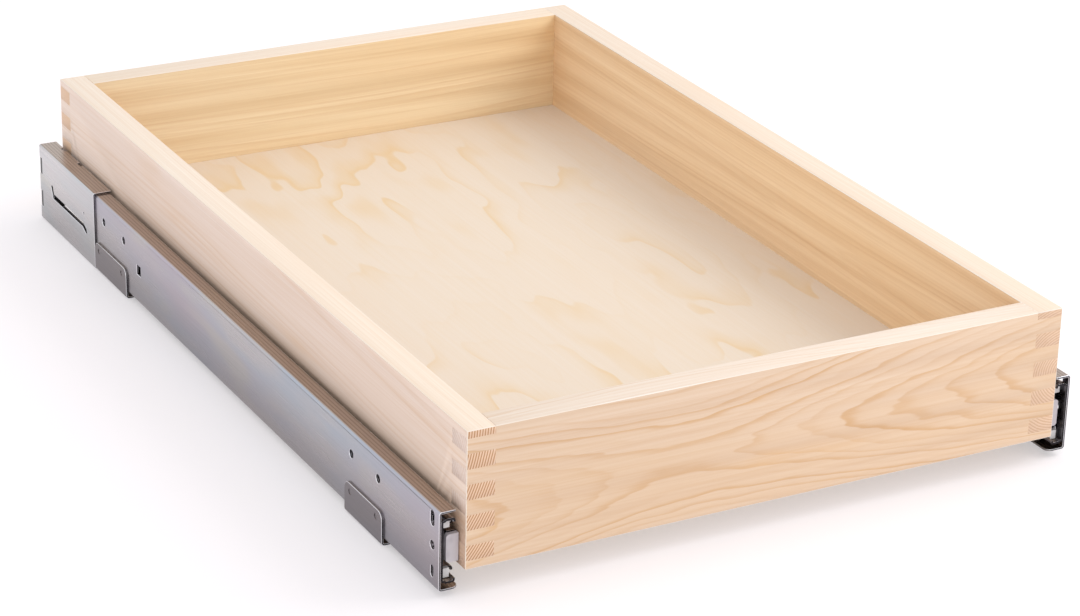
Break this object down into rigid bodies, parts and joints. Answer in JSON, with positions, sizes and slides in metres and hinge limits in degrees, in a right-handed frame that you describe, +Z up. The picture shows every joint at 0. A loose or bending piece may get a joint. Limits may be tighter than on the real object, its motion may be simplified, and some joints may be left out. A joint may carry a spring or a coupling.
{
  "type": "cabinet drawer slide",
  "caption": "Shallow wooden drawer box on a pair of side-mounted full-extension ball-bearing slides with soft-close rear units.",
  "frame": {"origin": "on the cabinet floor, under the middle of the closed set", "axes": "+X across to the right seen from the front, +Y towards the back of the cabinet, +Z up; the drawer opens along -Y"},
  "size_m": [0.3834, 0.5628, 0.0914],
  "materials": {
    "pine_board": "planed, unfinished",
    "plywood": "rotary-cut veneer, unfinished",
    "zinc_plate": "bright zinc plating, satin",
    "dull_zinc": "dull zinc plating",
    "polished_steel": "ground steel",
    "spring_steel": "oiled spring wire",
    "black_plastic": "moulded acetal",
    "white_plastic": "moulded acetal",
    "grey_plastic": "moulded acetal"
  },
  "bodies": {
    "cabinet_side": {"left_mounting_rail": "zinc_plate", "left_cabinet_member": "zinc_plate", "left_front_foot_clip": "dull_zinc", "left_rear_foot_clip": "dull_zinc", "left_soft_close_cover": "zinc_plate", "left_soft_close_body": "black_plastic", "left_damper_cylinder": "grey_plastic", "left_closing_spring": "spring_steel", "right_mounting_rail": "zinc_plate", "right_cabinet_member": "zinc_plate", "right_front_foot_clip": "dull_zinc", "right_rear_foot_clip": "dull_zinc", "right_soft_close_cover": "zinc_plate", "right_soft_close_body": "black_plastic", "right_damper_cylinder": "grey_plastic", "right_closing_spring": "spring_steel"},
    "drawer": {"drawer_front_board": "pine_board", "drawer_back_board": "pine_board", "left_drawer_side_board": "pine_board", "right_drawer_side_board": "pine_board", "drawer_bottom_panel": "plywood", "left_drawer_member": "zinc_plate", "left_drawer_member_buffer": "grey_plastic", "left_drawer_member_screws": "zinc_plate", "left_striker": "zinc_plate", "left_lever_pivot": "polished_steel", "right_drawer_member": "zinc_plate", "right_drawer_member_buffer": "grey_plastic", "right_drawer_member_screws": "zinc_plate", "right_striker": "zinc_plate", "right_lever_pivot": "polished_steel"},
    "left_intermediate": {"left_intermediate_member": "zinc_plate", "left_intermediate_buffers": "white_plastic"},
    "left_outer_ball_set": {"left_outer_ball_cage": "zinc_plate", "left_outer_balls": "polished_steel"},
    "left_inner_ball_set": {"left_inner_ball_cage": "white_plastic", "left_inner_balls": "polished_steel"},
    "left_catch": {"left_catch_carriage": "black_plastic", "left_damper_rod": "polished_steel"},
    "left_lever": {"left_release_lever": "black_plastic"},
    "right_intermediate": {"right_intermediate_member": "zinc_plate", "right_intermediate_buffers": "white_plastic"},
    "right_outer_ball_set": {"right_outer_ball_cage": "zinc_plate", "right_outer_balls": "polished_steel"},
    "right_inner_ball_set": {"right_inner_ball_cage": "white_plastic", "right_inner_balls": "polished_steel"},
    "right_catch": {"right_catch_carriage": "black_plastic", "right_damper_rod": "polished_steel"},
    "right_lever": {"right_release_lever": "black_plastic"}
  },
  "joints": [
    {"name": "drawer_slide", "type": "slide", "parent": "cabinet_side", "child": "drawer", "axis": [0, -1, 0], "range_m": [0, 0.5588]},
    {"name": "left_intermediate_slide", "type": "slide", "parent": "cabinet_side", "child": "left_intermediate", "axis": [0, -1, 0], "range_m": [0, 0.27941]},
    {"name": "left_outer_ball_set_slide", "type": "slide", "parent": "cabinet_side", "child": "left_outer_ball_set", "axis": [0, -1, 0], "range_m": [0, 0.13971]},
    {"name": "left_inner_ball_set_slide", "type": "slide", "parent": "cabinet_side", "child": "left_inner_ball_set", "axis": [0, -1, 0], "range_m": [0, 0.41911]},
    {"name": "left_catch_slide", "type": "slide", "parent": "cabinet_side", "child": "left_catch", "axis": [0, -1, 0], "range_m": [0, 0.05001], "deforming": ["left_closing_spring"]},
    {"name": "left_release_lever_pivot", "type": "hinge", "parent": "drawer", "child": "left_lever", "pos_m": [-0.1813, 0.0226, 0.0257], "axis": [1, 0, 0], "range_deg": [-6, 0], "stiffness_Nm_per_rad": 0.02},
    {"name": "right_intermediate_slide", "type": "slide", "parent": "cabinet_side", "child": "right_intermediate", "axis": [0, -1, 0], "range_m": [0, 0.27941]},
    {"name": "right_outer_ball_set_slide", "type": "slide", "parent": "cabinet_side", "child": "right_outer_ball_set", "axis": [0, -1, 0], "range_m": [0, 0.13971]},
    {"name": "right_inner_ball_set_slide", "type": "slide", "parent": "cabinet_side", "child": "right_inner_ball_set", "axis": [0, -1, 0], "range_m": [0, 0.41911]},
    {"name": "right_catch_slide", "type": "slide", "parent": "cabinet_side", "child": "right_catch", "axis": [0, -1, 0], "range_m": [0, 0.05001], "deforming": ["right_closing_spring"]},
    {"name": "right_release_lever_pivot", "type": "hinge", "parent": "drawer", "child": "right_lever", "pos_m": [0.1813, 0.0226, 0.0257], "axis": [1, 0, 0], "range_deg": [0, 6], "stiffness_Nm_per_rad": 0.02}
  ],
  "couplings": [
    {"joint": "left_intermediate_slide", "follows": "drawer_slide", "ratio": 0.5},
    {"joint": "left_outer_ball_set_slide", "follows": "drawer_slide", "ratio": 0.25},
    {"joint": "left_inner_ball_set_slide", "follows": "drawer_slide", "ratio": 0.75},
    {"joint": "left_catch_slide", "follows": "drawer_slide", "ratio": 0.089477},
    {"joint": "right_intermediate_slide", "follows": "drawer_slide", "ratio": 0.5},
    {"joint": "right_outer_ball_set_slide", "follows": "drawer_slide", "ratio": 0.25},
    {"joint": "right_inner_ball_set_slide", "follows": "drawer_slide", "ratio": 0.75},
    {"joint": "right_catch_slide", "follows": "drawer_slide", "ratio": 0.089477}
  ]
}
